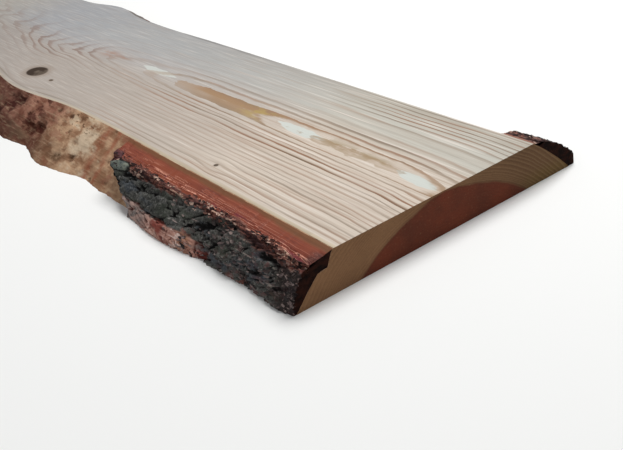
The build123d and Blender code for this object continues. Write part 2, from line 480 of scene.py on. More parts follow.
def sawn_face_material(rings):
    """Pale sapwood off the saw, cut flat across the rings."""
    material, w = new_material("sawn face")
    place = w.object_place()
    ring = w.named("ShaderNodeGroup", {"Place": place}, node_tree=rings)
    across = ring["Across"]
    along = ring["Along"]
    flooded = w.band(ring["Number"], -0.4, -0.9) * w.band(along, 318, 352) * 0.5
    late = (
        w.band(ring["Ring"] + flooded + (ring["Tone"] - 0.5) * 0.16, 0.44, 0.84)
        * w.band(ring["Ring"], 0.955, 1, 1, 0)
    )
    crisp = w.band(across, 82, 96, 0.55, 0.95)
    late = late * (1 - crisp + late * crisp)
    beyond = w.band(along, 140, 360)
    contrast = (
        w.curve(across, RING_CONTRAST) * (1 - beyond)
        + w.curve(across, RING_CONTRAST_BEYOND) * beyond
    )
    patchy = w.grain(place, (6, 26, 26))
    fade = w.band(along, 500, 690, 1, 0.3)
    feather = w.bell(along - 1010, 170) * w.bell(across + 22, 34)
    fade = fade + feather * 0.55
    inner_ring = w.band(ring["Number"], -1.2, -1.8)
    strength = contrast * (ring["Tone"] * 0.34 + 0.86) * fade
    strength = strength * w.band(patchy, 0.25, 0.55, 0.6, 1) * (1 - inner_ring * 0.45)

    cloud = w.grain(place, (2.6, 16, 16))
    warm = w.mix(cloud, (210, 197, 183), (194, 180, 165))
    plain = w.mix(cloud, (190, 187, 177), (176, 173, 162))
    pale = w.mix(w.band(across, 10, 70), warm, plain)
    pale = w.mix(w.band(across, 84, 130, 0, 0.5), pale, (160, 153, 140))
    pale = w.mix(w.band(ring["Tone"], 0.2, 0.9, 0, 0.3), pale, (184, 172, 158))
    # Painted fall-off of the light, cool grey toward the far end, with a painted bluish sky reflection toward
    # the far edge
    falloff_and_sky_grey = w.mix(w.band(across, -40, 30), (150, 143, 138), (146, 148, 152))
    falloff_and_sky_grey = w.mix(w.band(along, 1150, 1500), falloff_and_sky_grey, (158, 153, 146))
    pale = w.mix(w.curve(along, PAINTED_LIGHT_FALLOFF), pale, falloff_and_sky_grey)
    fibre = w.grain(place, (12, 700, 700), 3)
    streaks = w.grain(place, (5, 240, 240))
    pale = w.mix(w.band(fibre, 0.5, 0.72, 0, 0.35), pale, (216, 208, 196))
    pale = w.mix(w.band(fibre, 0.5, 0.3, 0, 0.35), pale, (158, 144, 130))
    near_half = w.band(along, 620, 200, 0.25, 1)
    pale = w.mix(w.band(streaks, 0.54, 0.72) * near_half * 0.6, pale, (222, 212, 202))
    pale = w.mix(w.band(streaks, 0.46, 0.28) * near_half * 0.6, pale, (168, 146, 128))
    ragged = w.grain(place, (36, 110, 110))
    for island_along, island_across, half_length, half_width, strong in PALE_ISLANDS:
        run = (along - island_along) / half_length
        side = (across - island_across) / half_width
        inside = 1 - run * run - abs(side)
        island = w.band(inside + (ragged - 0.5) * 0.9, 0, 0.22)
        pale = w.mix(island * strong, pale, (198, 203, 197))
    wash = w.band(along, 84, 110) * w.band(along, 232, 200) * w.bell(across - 2, 9)
    wash = wash * w.band(ragged, 0.4, 0.52)
    pale = w.mix(wash * 0.8, pale, (160, 144, 118))
    on_crown = w.bell(ring["Crown"], 20)
    hue = w.grain(place, (7, 90, 90))
    dark = w.mix(w.band(hue, 0.4, 0.6), (118, 100, 82), (142, 108, 86))
    dark = w.mix(on_crown * w.band(along, 900, 700), dark, (155, 126, 97))
    golden = on_crown * w.bell(along - 368, 34) * w.band(ragged, 0.4, 0.6)
    dark = w.mix(golden, dark, (166, 142, 92))
    dark = w.mix(inner_ring, dark, (150, 124, 94))
    dark = w.mix(w.band(along, 700, 900, 0, 0.8), dark, (124, 101, 92))
    base = w.mix(late * strength, pale, dark)

    for blush_along, blush_across, half_length, half_width in BLUSHES:
        blush = w.bell(along - blush_along, half_length) * w.bell(across - blush_across, half_width)
        base = w.mix(blush * w.band(ragged, 0.3, 0.55) * 0.85, base, (156, 128, 114))
    far_side = w.band(across, -5, 5)
    groove = w.bell(ring["Rim"] - GROOVE, 1.5) * w.band(along, 560, 660) * (1 - far_side)
    base = w.mix(groove * w.band(patchy, 0.3, 0.6) * 0.6, base, (118, 106, 92))
    cream = w.band(ring["Rim"], *CREAM_STRIP) * (1 - far_side) * w.band(along, 1000, 560, 0.35, 1)
    base = w.mix(cream * 0.6, base, (204, 190, 164))
    # Painted shade along the arris of the far edge
    arris = w.band(ring["Rim"], *ARRIS_SHADE_STRIP) * far_side * w.band(along, 420, 640) * w.band(patchy, 0.4, 0.55)
    base = w.mix(arris * w.band(along, 1000, 900) * 0.4, base, (96, 94, 92))

    knot = ring["Knot"]
    rays = w.grain(place, (160, 160, 160), 3)
    rim = w.band(knot, 0, 0.6, 0.25, 1) * w.band(along, 862, 892, 0.35, 1)
    char = w.band(rim + (rays - 0.5) * 0.6, 0.2, 0.7)
    knot_body = w.mix(char, (98, 86, 74), (58, 46, 37))
    base = w.mix(w.band(knot, 1.9, 1.05, 0, 0.4), base, (128, 108, 90))
    base = w.mix(w.band(knot, 1.14, 0.94), base, knot_body)
    height = late * 0.5 + fibre * 0.8 + w.band(knot, 1.1, 0.9) * 0.6
    finish_material(w, base, w.band(fibre, 0.2, 0.8, 0.78, 0.9), height, 0.22, 0.7, 0.15)
    return material


# The heart, in millimetres: its radius about a centre beside the pith line, and how much further it reaches
# straight up, over what width
HEART_RADIUS = 188.4
HEART_ACROSS = 5.0
HEART_PEAK = 5.6
HEART_PEAK_WIDTH = 34.0


def end_grain_material(rings):
    """The square saw cut: brown sapwood round a red-brown heart, the rings as arcs."""
    material, w = new_material("end grain")
    place = w.object_place()
    ring = w.named("ShaderNodeGroup", {"Place": place}, node_tree=rings)
    late = w.band(ring["Ring"], 0.3, 0.85) * w.band(ring["Ring"], 0.94, 1, 1, 0)
    _, y, z = w.millimetres(place)
    speck = w.noise(place, 420, 3, 0.6)
    cloud = w.noise(place, 30)
    sap = w.mix(cloud, (144, 107, 75), (127, 91, 62))
    sap = w.mix(w.band(y, -60, 150, 0, 0.85), sap, (104, 77, 52))
    sap = w.mix(w.band(y, 100, 150) * w.band(z, 24, 6) * 0.4, sap, (110, 92, 40))
    heart = w.mix(w.band(cloud, 0.3, 0.7), (110, 52, 33), (94, 46, 30))
    aside = y - HEART_ACROSS
    depth = z + PITH_DEPTH / MM
    radius = w.math("SQRT", aside * aside + depth * depth)
    wobble = (w.noise(place, 34, 3) - 0.5) * 5
    peak = w.bell(aside, HEART_PEAK_WIDTH) * HEART_PEAK
    beyond_heart = radius + wobble - HEART_RADIUS - peak
    in_heart = w.band(beyond_heart, 1.6, -1.6)
    edge = w.bell(beyond_heart, 2.6)
    base = w.mix(in_heart, sap, heart)
    base = w.mix(edge * 0.3, base, (82, 48, 32))
    shown_rings = w.band(y, 30, 110, 0.08, 0.2) + w.band(cloud, 0.3, 0.7, 0, 0.16)
    base = w.mix(late * shown_rings * (1 - in_heart * 0.6), base, (72, 50, 34))
    early = w.bell(ring["Ring"] - 0.16, 0.14) * w.band(y, -40, 110, 0.08, 0.2)
    base = w.mix(early * (1 - in_heart), base, (160, 132, 98))
    base = w.mix(w.band(speck, 0.55, 0.8, 0, 0.22), base, (168, 134, 98))
    base = w.mix(w.band(speck, 0.45, 0.25, 0, 0.3), base, (70, 44, 30))
    saw_lines = w.grain(place, (1, 60, 1400))
    base = w.mix(w.band(saw_lines, 0.55, 0.75, 0, 0.2), base, (74, 54, 38))
    height = speck * 0.6 + saw_lines * 0.6 + late * 0.3
    finish_material(w, base, 0.85, height, 0.4, 0.8, 0.2)
    return material


# Reddish inner bark that clings to the bare wane in stripes round the log: distance from the shown end and
# half width
STRIPES = ((508, 10), (477, 7))
# By the distance from the shown end: where tan wood gives way to red-brown, where painted shade darkens it,
# and where the stretch that the photograph shows has ended
TAN_TO_BROWN = (620, 700)
PAINTED_SHADE_SPAN = (730, 850)
BEYOND_PHOTOGRAPH = (1300, 1050)


def bare_wane_material(rings):
    """The log's surface where the bark is off: tan wood, red-brown inner bark left on it, dark pits, and
    painted shade low down and far along.
    """
    material, w = new_material("bare wane")
    place = w.object_place()
    ring = w.named("ShaderNodeGroup", {"Place": place}, node_tree=rings)
    along = ring["Along"]
    height_mm = w.millimetres(place)[2]
    cloud = w.grain(place, (34, 55, 55), 4, 0.6)
    film = w.grain(place, (13, 30, 30), 4, 0.65)
    grime = w.grain(place, (60, 90, 90), 3, 0.6)
    tan = w.mix(w.band(cloud, 0.36, 0.62), (140, 103, 77), (190, 155, 124))
    tan = w.mix(w.band(film, 0.56, 0.66, 0, 0.75), tan, (212, 192, 164))
    brown = w.mix(w.band(cloud, 0.36, 0.62), (120, 76, 60), (164, 118, 98))
    brown = w.mix(w.band(film, 0.58, 0.7, 0, 0.6), brown, (160, 140, 110))
    brown = w.mix(w.band(film, 0.46, 0.38, 0, 0.85), brown, (72, 34, 28))
    edge = along + (film - 0.5) * 180
    base = w.mix(w.band(edge, *TAN_TO_BROWN), tan, brown)
    for stripe_along, half_width in STRIPES:
        lean = along + height_mm * -0.12 + (film - 0.5) * 22
        stripe = w.bell(lean - stripe_along, half_width)
        base = w.mix(stripe * w.band(grime, 0.3, 0.6, 0.3, 0.75), base, (146, 82, 58))
    cream_place = w.bell(along - 552, 34) * w.bell(height_mm - 30, 20)
    cream = w.band(cream_place + (cloud - 0.5) * 2.2, 0.3, 0.9)
    base = w.mix(cream * 0.8, base, (208, 188, 162))
    patches = w.band(film, 0.42, 0.36)
    base = w.mix(patches * w.band(along, 720, 640) * 0.55, base, (134, 84, 66))
    # Painted shade, darker toward the bottom of the wane from about 0.54 m on
    below = w.band(height_mm, 34, 10) * w.band(edge, 540, 660) * w.band(edge, *BEYOND_PHOTOGRAPH, 0.4, 1)
    base = w.mix(below * 0.62, base, (64, 32, 20))
    speckled = w.bell(along - 600, 60) * w.band(height_mm, 24, 36)
    speckled = speckled * w.band(w.grain(place, (110, 260, 260), 1), 0.62, 0.68)
    base = w.mix(speckled * 0.8, base, (74, 48, 28))
    # Pits painted dark brown, their own colour deepened by painted shade in the hollows
    pit = w.stored("pit")
    shaded = w.band(pit + (grime - 0.5) * 1.7, 0.24, 0.9, 0, 0.92)
    base = w.mix(shaded, base, w.mix(w.band(edge, *TAN_TO_BROWN), (70, 42, 22), (62, 24, 14)))
    # Painted shade over the red-brown wood from about 0.73 m on
    painted_shade = w.band(edge, *PAINTED_SHADE_SPAN, 0, 0.6) * w.band(edge, *BEYOND_PHOTOGRAPH, 0.3, 1)
    base = w.mix(painted_shade, base, (62, 30, 28))
    fibre = w.grain(place, (30, 300, 300), 3)
    base = w.mix(w.band(fibre, 0.5, 0.8, 0, 0.3), base, (206, 178, 146))
    height = cloud + fibre * 0.4 + grime * 0.5
    # Grey over the upper part of the far wane, from about 0.76 m on
    upper_far_grey = w.band(ring["Across"], -5, 5) * w.band(height_mm + film * 20, 30, 48)
    shown_grey = w.band(along, 760, 900) * w.band(edge, 1420, 1160, 0.25, 1)
    base = w.mix(upper_far_grey * shown_grey * 0.92, base, (106, 103, 99))
    finish_material(w, base, 0.85, height, 1.9, 0.9, 0.1)
    return material


rings = growth_rings()
sawn_face = sawn_face_material(rings)
end_grain = end_grain_material(rings)
bare_wane = bare_wane_material(rings)

fine_count = round(FINE_STRETCH / FINE_PITCH)
coarse_count = round((LENGTH - FINE_STRETCH) / COARSE_PITCH)
fine_places = np.linspace(LENGTH / 2 - FINE_STRETCH, LENGTH / 2, fine_count + 1)
coarse_places = np.linspace(-LENGTH / 2, LENGTH / 2 - FINE_STRETCH, coarse_count + 1)
board_places = np.concatenate([coarse_places[:-1], fine_places])
board_heights = np.linspace(0, THICKNESS, BOARD_ROWS + 1)
board_tree = cad_tree("board")
near_profile = edge_profile(board_tree, -1)
far_profile = edge_profile(board_tree, 1)

# Pits and dents of the bare wane that stand out: distance from the shown end, height, radius and depth in mm
PITS = (
    (443, 7, 5, 2.0), (467, 24, 5, 3.0), (489, 2, 6, 2.0), (496, 48, 4, 1.5), (557, 14, 6, 3.0),
    (574, 25, 6, 4.0), (588, 9, 12, 4.0), (602, 44, 6, 3.5), (604, 34, 4, 1.5), (630, 44, 5, 3.0),
    (641, 39, 4, 1.5), (673, 44, 5, 1.5), (691, 21, 13, 7.0), (711, 16, 11, 6.0), (726, 20, 9, 5.0),
    (744, 31, 6, 3.0), (794, 38, 12, 5.0), (812, 36, 16, 6.0), (858, 20, 14, 6.0), (930, 15, 15, 6.0),
    (1010, 30, 10, 4.0),
)
# The far side, which the photograph hides, has only those from 0.63 m on
FAR_PITS = PITS[9:]
# How much longer and lower a pit is than round, and the heights of the wane's lumps, knobs and grain in mm
PIT_STRETCH = (1.9, 0.75)
LUMPS = 2.6
KNOBS = 1.3
GRAIN = 0.5
# Below the sawn top, how far down the relief is held back on the near and on the far side
NEAR_ARRIS = 8
FAR_ARRIS = 20
# Where each side's relief starts to show past its bark, and over what length it grows
NEAR_BARE = (375, 40)
FAR_BARE = (60, 30)
SHARP_ANGLE = math.radians(38)


def wane_relief(side, pits):
    """How much further out the bare wane's lumps and pits lie, and how much each place is a pit."""
    along = (END_X - board_places)[:, None] / MM + 0 * board_heights[None, :]
    height = board_heights[None, :] / MM + 0 * board_places[:, None]
    lumps = fractal(along / 48, height / 26 + 9 * side, 0 * along, 3)
    knobs = fractal(along / 17, height / 9 + 7 * side, 0 * along + 6, 3)
    grain = fractal(along / 16, height / 5 + 5 * side, 0 * along + 3, 3)
    relief = LUMPS * lumps + KNOBS * knobs + GRAIN * grain
    pitted = np.zeros_like(relief)
    for pit_along, pit_height, radius, depth in pits:
        run = (along - pit_along) / (PIT_STRETCH[0] * radius)
        reach = run**2 + ((height - pit_height) / (PIT_STRETCH[1] * radius)) ** 2
        ragged = 1 + 0.9 * fractal(along / 13, height / 6, 0 * along + depth, 3)
        dent = np.exp(-1.6 * reach * np.maximum(ragged, 0.3))
        relief -= depth * dent
        pitted = np.maximum(pitted, dent * min(1.0, 0.55 + depth / 14))
    arris = np.clip((THICKNESS / MM - height) / (NEAR_ARRIS if side < 0 else FAR_ARRIS), 0.08, 1)
    return relief * arris * MM, pitted


def uncovered(start, run):
    """0 where bark covers the wane, growing to 1 past its end, for each place along the board."""
    return np.clip((END_X - board_places) / MM - start, 0, run)[:, None] / run


near_relief, near_pitted = wane_relief(-1, PITS)
far_relief, far_pitted = wane_relief(1, FAR_PITS)
near_profile = np.minimum(near_profile + near_relief * uncovered(*NEAR_BARE), -cad_box[0].y)
far_profile = np.minimum(far_profile + far_relief * uncovered(*FAR_BARE), cad_box[1].y)

BOARD_ISLANDS = {
    "top": (0.005, 0.52, 0.995, 0.995),
    "underside": (0.005, 0.34, 0.995, 0.51),
    "near": (0.005, 0.19, 0.995, 0.33),
    "far": (0.005, 0.08, 0.995, 0.18),
    "other_end": (0.005, 0.005, 0.495, 0.07),
    "shown_end": (0.505, 0.005, 0.995, 0.07),
}
BOARD_SIDES = {
    "top": sawn_face,
    "underside": sawn_face,
    "near": bare_wane,
    "far": bare_wane,
    "other_end": end_grain,
    "shown_end": end_grain,
}
nx = len(board_places) - 1
(li, lj, lk), quads, corners, sizes = lattice_shell(nx, FLAT_COLUMNS, BOARD_ROWS, BOARD_ISLANDS)
near_y = -near_profile[li, lk]
across_y = near_y + (far_profile[li, lk] - near_y) * (lj / FLAT_COLUMNS)
points = np.stack([board_places[li], across_y, board_heights[lk]], axis=-1)
board = shell_object("sawn_board", points, quads, corners, sizes, BOARD_SIDES)
vertex_value(board, "pit", np.where(lj == 0, near_pitted[li, lk], far_pitted[li, lk]))
board.data.set_sharp_from_angle(angle=SHARP_ANGLE)
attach(board, "root")
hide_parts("board")


# Near edge bark
# The bark that still holds on the near edge, sawn through with the board: a red-brown inner layer shows as a
# smooth band on top, and a thick furrowed grey-black crust covers the outside down to a ragged, torn-off end.
BARK_BURIED = 0.004
BARK_END_SET_BACK = 0.0004
NEAR_BARK_TOP_SINK = 0.0021
BARK_SAW_SINK = 0.0004
THINNEST_BARK = 0.0015
# How thick the bark is where its crust's relief starts, and where that has its full height
RELIEF_STARTS = 0.001
RELIEF_FULL = 0.007
# How far short of a tear the bark's thickness is last measured, in mm: of its own and of the node's tear
TEAR_MARGIN = 18
NODE_TEAR_MARGIN = 24
CRUST_HEIGHT = 62.0
CRUST_SLANT = 0.28
# A smooth grey-green scale at the torn end of the crust: its distance from the shown end, and down the crust
SCALE_PLACE = (407, 9.5)
SCALE_HALF_SIZE = (27, 6.5)
SCALE_SLANT = 0.1


def smooth_step(value, low, high):
    """0 below low and 1 above high, with a smooth rise between."""
    share = np.clip((value - low) / (high - low), 0, 1)
    return share * share * (3 - 2 * share)


def near_line(along, down, furrow):
    """How near places are to a furrow, 1 on it. furrow runs from one place along and down the crust to
    another, and ends with its half width and depth."""
    start_along, start_down, end_along, end_down, half_width, depth = furrow
    run, drop = end_along - start_along, end_down - start_down
    ahead, below = along - start_along, down - start_down
    share = np.clip((ahead * run + below * drop) / (run * run + drop * drop), 0, 1)
    away = np.hypot(ahead - share * run, below - share * drop)
    return np.exp(-((away / half_width) ** 2))


def crust_relief(along, down, seed, depth, furrows):
    """Slanting furrows between rough ridges, lumps and grit, in mm, at places in mm along the crust and down
    it. depth is that of the common furrows, and furrows are the few that stand out."""
    flat = 0 * along + seed
    slant = down - CRUST_SLANT * along
    drift = fractal(along / 60, down / 22, flat, 2)
    wide = fractal(along / 64, slant / 12 + 0.5 * drift, flat + 1, 3)
    narrow = fractal(along / 24, slant / 5.5 + drift, flat + 2, 3)
    broken = smooth_step(fractal(along / 36, down / 16, flat + 9, 2), -0.25, 0.15)
    relief = -depth * np.exp(-((wide / 0.1) ** 2)) * broken
    relief -= 0.5 * depth * np.exp(-((narrow / 0.12) ** 2)) * (1 - 0.4 * broken)
    relief += 2.6 * fractal(along / 52, down / 20, flat + 3, 2)
    relief += 1.8 * fractal(along / 20, slant / 7, flat + 4, 3)
    relief += 0.95 * fractal(along / 5.5, slant / 3, flat + 5, 3)
    relief += 0.5 * fractal(along / 2.1, down / 1.8, flat + 6, 2)
    wavy = down + 3.0 * fractal(along / 14, down / 9, flat + 7, 3)
    for furrow in furrows:
        relief -= furrow[5] * near_line(along, wavy, furrow)
    return relief


def bark_block(name, node, side, cells, top_sink, tear, relief_at):
    """Bark along one edge, from the shown end to a tear. top_sink is how much lower the sawn top has dried at
    its outer edge, tear gives the distance of the tear from the shown end, in mm, at a height share and a
    depth share, and relief_at the relief of the crust."""
    nx, ny, nz = cells
    outer_island, inner_island = (0.005, 0.2, 0.995, 0.69), (0.005, 0.12, 0.995, 0.19)
    islands = {
        "top": (0.005, 0.7, 0.995, 0.995),
        "near": outer_island if side < 0 else inner_island,
        "far": inner_island if side < 0 else outer_island,
        "underside": (0.005, 0.06, 0.995, 0.11),
        "other_end": (0.005, 0.005, 0.495, 0.055),
        "shown_end": (0.505, 0.005, 0.995, 0.055),
    }
    (li, lj, lk), quads, corners, sizes = lattice_shell(nx, ny, nz, islands)
    heights = np.linspace(0, 1, nz + 1)
    tree = cad_tree(node)
    low_corner, high_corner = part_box(node)

    # The wood under the bark, and how thick the bark stands on it
    outer_tear = np.array([tear(height, 1.0) for height in heights])
    along = (1 - np.linspace(0, 1, nx + 1))[:, None] * outer_tear[None, :]
    wood = np.zeros_like(along)
    bark = np.zeros_like(along)
    whole_until = min(outer_tear.min() - TEAR_MARGIN, (high_corner.x - low_corner.x) / MM - NODE_TEAR_MARGIN)
    top = THICKNESS - top_sink
    for i in range(nx + 1):
        for k, height in enumerate(heights):
            z = min(max(height * top, 2 * INSET), top - 2 * INSET)
            x = END_X - min(along[i, k], whole_until) * MM
            wood[i, k] = surface_at(board_tree, side, END_X - along[i, k] * MM, z)
            bark[i, k] = surface_at(tree, side, x, z) - surface_at(board_tree, side, x, z)

    # Relief of the crust on the outside
    down = (1 - heights)[None, :] * CRUST_HEIGHT + 0 * along
    relief = relief_at(along, down)
    shows = smooth_step(bark, RELIEF_STARTS, RELIEF_FULL)
    out = wood + bark
    slope_y = np.gradient(out, axis=1)
    slope_z = THICKNESS / nz
    length = np.hypot(slope_y, slope_z)
    outer_y = out + relief * MM * shows * slope_z / length
    outer_z = heights[None, :] * top - relief * MM * shows * slope_y / length
    outer_y = np.maximum(outer_y, wood + THINNEST_BARK)
    outer_z = np.clip(outer_z, 0.0, top)
    outer_z[:, 0] = 0.0

    # Everything between the wood and the crust, and the chipped rim of the sawn top
    depth_share = (1 - lj / ny) if side < 0 else lj / ny
    inner_y = wood[li, lk] - BARK_BURIED
    inner_z = heights[lk] * (THICKNESS - BARK_SAW_SINK)
    y = inner_y + (outer_y[li, lk] - inner_y) * depth_share
    z = inner_z + (outer_z[li, lk] - inner_z) * depth_share
    here_tear = np.array([tear(heights[k], share) for k, share in zip(lk, depth_share)])
    distance = (1 - li / nx) * here_tear
    x = END_X - distance * MM - np.where(li == nx, BARK_END_SET_BACK, 0)
    across_mm = (y - inner_y) / MM - BARK_BURIED / MM
    on_top = lk == nz
    layers = fractal(distance / 60, across_mm / 1.6, 0 * x + 11, 3)
    ragged = depth_share + 0.3 * fractal(distance / 24, across_mm / 5, 0 * x + 12, 3)
    chipped = smooth_step(ragged, 0.78, 1.02)
    by_the_end = smooth_step(11 + 8 * (ragged - depth_share) - distance, 0, 7)
    chipped += 0.7 * smooth_step(ragged, 0.2, 0.5) * by_the_end
    layered = smooth_step(depth_share, 0.45, 0.8)
    z = np.where(on_top, z - MM * (0.12 + 0.3 * layered * (1 + layers) + 1.8 * chipped), z)
    points = np.stack([x, np.clip(side * y, low_corner.y, high_corner.y), z], axis=-1)
    made = shell_object(name, points, quads, corners, sizes, BARK_SIDES)
    around = np.where(on_top, depth_share, np.where(depth_share == 1, 2 - lk / nz, 0.35 + 0.75 * depth_share))
    vertex_value(made, "around", around)
    patchy = np.clip(0.45 + 1.6 * fractal(distance / 34, around * 6, 0 * x + 13, 2), 0, 1)
    rim = smooth_step(around, 0.84, 0.94) * (1 - smooth_step(around, 1.1, 1.22))
    crust_flakes = 0.35 * smooth_step(around, 1.1, 1.2) * (1 - smooth_step(distance, 150, 260))
    loose = patchy * np.maximum(rim, crust_flakes) * smooth_step(distance, 2, 6)
    vertex_value(made, "flaking", np.where(on_top | (depth_share == 1), loose, 0))
    vertex_value(made, "proud", np.where(depth_share == 1, smooth_step(relief[li, lk], -4.5, 3.0), 0.6))
    return made


# Places round the bark: 0 next to the wood on the sawn top, 1 at the rim, 2 at the foot of the crust. The
# brown strip, the red band, the flaking rim and the crust follow one another there
STRIP_TO_RED = (0.16, 0.36)
RED_TO_FLAKING = (0.88, 0.98)
FLAKING_TO_CRUST = (1.07, 1.14)


def bark_material():
    """Bark seen from outside: dark strip and red-brown layers on the sawn band, flaking layers at its rim,
    and the grey-black crust."""
    material, w = new_material("bark")
    place = w.object_place()
    x, y, _ = w.millimetres(place)
    along = END_X / MM - x
    around = w.stored("around")
    proud = w.stored("proud")
    slow = w.grain(place, (16, 40, 40), 3)
    chips = w.grain(place, (70, 150, 150), 4, 0.6)
    grit = w.noise(place, 330, 4, 0.65)
    uneven = (slow - 0.5) * 0.26 + (chips - 0.5) * 0.16
    climb = w.bell(along - 142, 20) * 0.1
    worn = w.band(along, 112, 80, 0, 0.06)
    zone = around + uneven + climb - worn

    # The sawn band: a brown strip next to the wood, then red-brown with fine pale layer lines
    streak = w.grain(place, (9, 380, 380), 4, 0.6)
    red = w.mix(w.band(streak, 0.3, 0.7), (98, 41, 28), (140, 70, 48))
    red = w.mix(w.band(slow, 0.35, 0.65), red, (128, 62, 40))
    thread_noise = w.grain(place, (7, 300, 300), 1.4, 0.4)
    thread = w.bell(thread_noise - 0.5, 0.02)
    threads_show = w.band(zone, 0.36, 0.8, 0.12, 1) * w.band(along, 420, 250, 0.4, 1)
    red = w.mix(threads_show * w.band(along, 260, 60, 0, 0.5), red, (112, 46, 34))
    red = w.mix(thread * threads_show, red, (224, 160, 136))
    dark_line = w.bell(thread_noise - 0.59, 0.03)
    red = w.mix(dark_line * w.band(zone, 0.5, 0.9), red, (66, 22, 20))
    crimson = w.band(w.grain(place, (34, 150, 150), 3), 0.57, 0.66)
    red = w.mix(crimson * w.band(zone, 0.6, 0.95), red, (104, 34, 44))
    strip = w.mix(streak, (92, 52, 30), (122, 80, 50))
    outside = w.mix(w.band(zone, *STRIP_TO_RED), strip, red)

    # Flaking layers at the rim
    flake_noise = w.grain(place, (18, 260, 260), 4, 0.6)
    flaky = w.mix(w.band(flake_noise, 0.4, 0.55), (50, 28, 27), (112, 68, 58))
    flaky = w.mix(w.band(flake_noise, 0.58, 0.66), flaky, (192, 158, 138))
    outside = w.mix(w.band(zone, *RED_TO_FLAKING), outside, flaky)
    end_chips = w.band(along + chips * 26, 32, 12) * w.band(around, 0.2, 0.55)
    outside = w.mix(end_chips * 0.8, outside, w.mix(w.band(grit, 0.5, 0.62), (64, 30, 28), flaky))
    tip = w.band(along, 412, 426) * w.band(around, 0.72, 0.85) * w.band(around, 1.12, 1.04)
    outside = w.mix(tip * 0.8, outside, (72, 42, 50))

    on_far = w.band(y, 100, 120, 0, 0.65)
    outside = w.mix(on_far, outside, w.mix(w.band(around, 0.5, 0.8), (146, 104, 88), (46, 30, 28)))

    # The crust
    crust = w.mix(w.band(slow, 0.3, 0.7), (74, 74, 71), (100, 99, 94))
    crust = w.mix(w.band(grit, 0.54, 0.72), crust, (146, 143, 138))
    crust = w.mix(w.band(grit, 0.48, 0.34), crust, (44, 42, 40))
    near_end = w.band(along, 220, 60)
    crust = w.mix(near_end * w.band(chips, 0.5, 0.62) * 0.8, crust, (96, 66, 64))
    crust = w.mix(near_end * w.band(flake_noise, 0.6, 0.66) * 0.7, crust, (176, 160, 150))
    tint = w.grain(place, (22, 60, 60))
    crust = w.mix(w.band(tint, 0.52, 0.64, 0, 0.5), crust, (66, 74, 84))
    crust = w.mix(w.band(tint, 0.46, 0.36, 0, 0.5), crust, (62, 68, 56))
    crust = w.mix(w.band(around, 1.32, 1.12, 0, 0.55), crust, (30, 29, 27))
    # Painted shade in the furrows, where the relief lies low
    crust = w.mix(w.band(proud, 0.46, 0.1), crust, (18, 16, 15))
    foot = w.bell(along - 92, 34) * w.band(around, 1.82, 1.95) * w.band(chips, 0.46, 0.56)
    crust = w.mix(foot * 0.8, crust, (140, 92, 82))
    end_red = w.band(along + slow * 30, 62, 34)
    end_crust = w.mix(w.band(grit, 0.56, 0.7), (40, 26, 26), (146, 118, 112))
    crust = w.mix(end_red * 0.8, crust, end_crust)
    outside = w.mix(w.band(zone, *FLAKING_TO_CRUST), outside, crust)

    # A smooth grey-green scale at the torn end with a painted shadow round it, and pinkish scales along the
    # bottom
    down = (around - 1) * CRUST_HEIGHT
    scale_run = along - SCALE_PLACE[0]
    scale_drop = down - SCALE_PLACE[1] - scale_run * SCALE_SLANT
    scale = w.bell(scale_run, SCALE_HALF_SIZE[0]) * w.bell(scale_drop, SCALE_HALF_SIZE[1])
    scale = scale + (chips - 0.5) * 0.5
    # Painted shadow in a dark ring round the raised scale
    outside = w.mix(w.band(scale, 0.3, 0.4), outside, (30, 29, 26))
    scale_face = w.mix(w.band(chips, 0.35, 0.65), (84, 92, 90), (122, 126, 114))
    scale_face = w.mix(w.band(grit, 0.5, 0.34), scale_face, (60, 64, 62))
    outside = w.mix(w.band(scale, 0.42, 0.6), outside, scale_face)
    blotch = w.grain(place, (26, 44, 44), 3)
    patch_edge = along + (blotch - 0.5) * 90
    patch = w.band(patch_edge, 168, 190) * w.band(zone + (blotch - 0.5) * 0.3, 1.6, 1.66)
    patch = patch * w.band(around, 1, 1.4)
    scales = w.mix(w.band(streak, 0.35, 0.65), (156, 108, 96), (206, 162, 146))
    scales = w.mix(w.band(chips, 0.54, 0.62), scales, (226, 200, 188))
    scales = w.mix(w.bell(along - 208, 13) * w.band(chips, 0.6, 0.4) * 0.8, scales, (180, 128, 94))
    grey_scales = w.mix(w.band(chips, 0.4, 0.6), (128, 118, 114), (168, 140, 130))
    scales = w.mix(w.band(along, 270, 320), scales, grey_scales)
    scales = w.mix(w.band(blotch, 0.48, 0.62) * w.band(along, 310, 280) * 0.85, scales, (130, 56, 46))
    # Painted shade where the scales lie low
    scales = w.mix(w.band(proud, 0.72, 0.35, 0, 0.85), scales, (92, 40, 34))
    outside = w.mix(patch, outside, scales)
    rough = w.band(zone, 0.9, 1.15)
    height = streak * 0.25 + rough * (chips * 0.6 + grit * 0.8)
    finish_material(w, outside, w.band(zone, 0.9, 1.1, 0.66, 0.92), height, 1.3, 0.9, 0.2)
    return material


def bark_end_material():
    """Bark cut square with the board: very dark red-brown layers that follow the log."""
    material, w = new_material("bark end")
    place = w.object_place()
    grains = w.noise(place, 260, 4, 0.6)
    layers = w.grain(place, (1, 90, 160), 3)
    base = w.mix(w.band(layers, 0.35, 0.65), (20, 9, 7), (44, 20, 13))
    base = w.mix(w.band(grains, 0.6, 0.78, 0, 0.4), base, (90, 52, 38))
    finish_material(w, base, 0.9, grains, 0.8, 0.9, 0.08)
    return material


